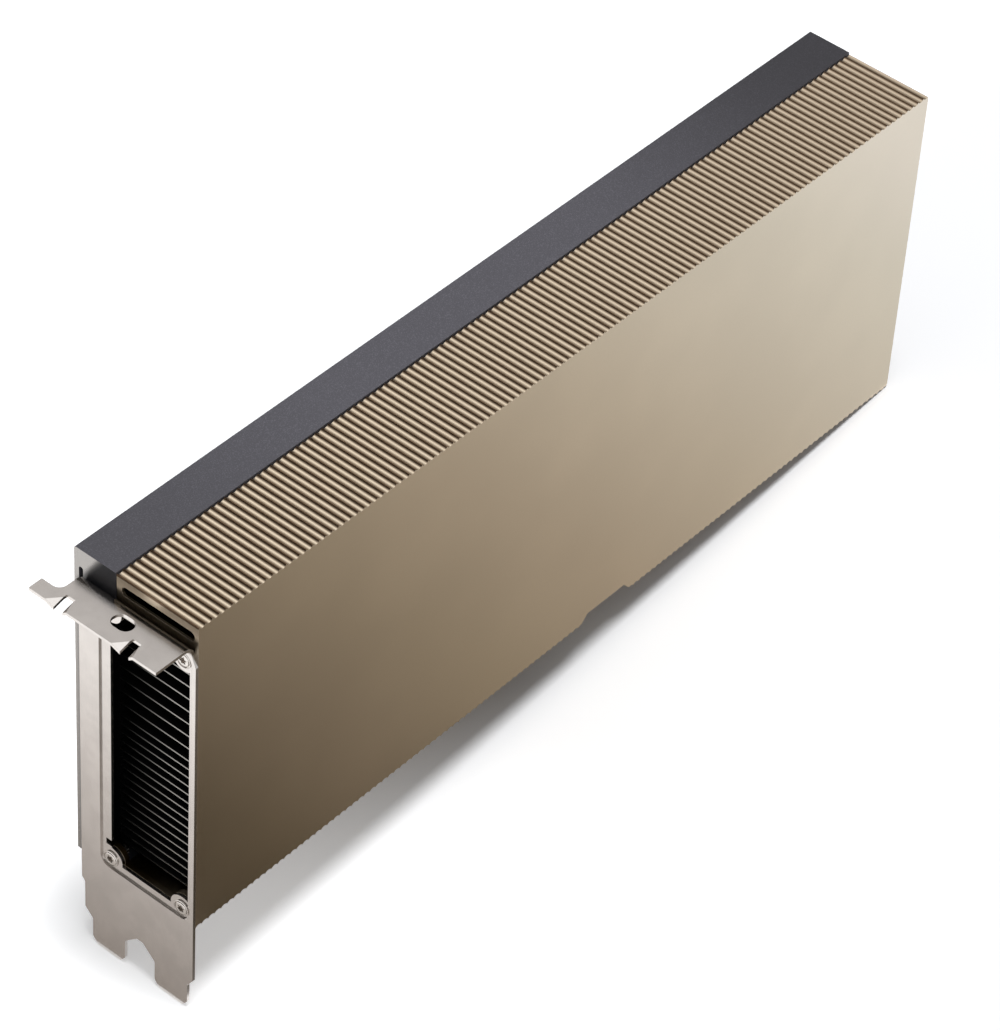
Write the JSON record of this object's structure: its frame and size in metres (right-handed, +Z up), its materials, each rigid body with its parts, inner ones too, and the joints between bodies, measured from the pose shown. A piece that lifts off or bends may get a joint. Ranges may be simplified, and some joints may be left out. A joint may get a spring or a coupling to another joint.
{
  "type": "passive accelerator card",
  "caption": "Dual-slot plug-in accelerator card without a fan: fluted metal casing, vented bracket, keyed edge tab and air-through fins.",
  "frame": {"origin": "on the bracket's outer face, at the middle of the card's thickness and level with the casing's bottom edge", "axes": "+X from the bracket along the card, +Y from the casing's front to the back cover, +Z up, away from the edge tab"},
  "size_m": [0.2791, 0.0402, 0.1258],
  "materials": {
    "casing": "satin",
    "cover": "matt",
    "film": "matt",
    "bracket": "satin plated",
    "screws": "plated",
    "board": "solder mask",
    "contacts": "gold plated",
    "carriers": "satin",
    "dies": "polished",
    "compound": "matt",
    "chips": "matt",
    "pads": "matt",
    "chokes": "matt",
    "capacitors": "matt",
    "cans": "satin",
    "heatsink": "blackened",
    "fins": "blackened, cut edges bare",
    "inlet": "satin",
    "pins": "tinned",
    "cover_screws": "black plated"
  },
  "bodies": {
    "root": {"shroud": "casing", "back_cover": "cover", "insulator_film": "film", "io_bracket": "bracket", "bracket_screws": "screws", "circuit_board": "board", "edge_contacts": "contacts", "processor_carriers": "carriers", "processor_dies": "dies", "thermal_compound": "compound", "memory_chips": "chips", "memory_pads": "pads", "bridge_chip": "chips", "bridge_pad": "pads", "supply_chokes": "chokes", "choke_pads": "pads", "power_stages": "chips", "filter_capacitors": "capacitors", "can_capacitors": "cans", "heatsink_base": "heatsink", "low_fins": "fins", "high_fins": "fins", "power_inlet": "inlet", "power_pins": "pins", "cover_screws": "cover_screws", "casing_screws": "cover_screws"}
  },
  "joints": []
}
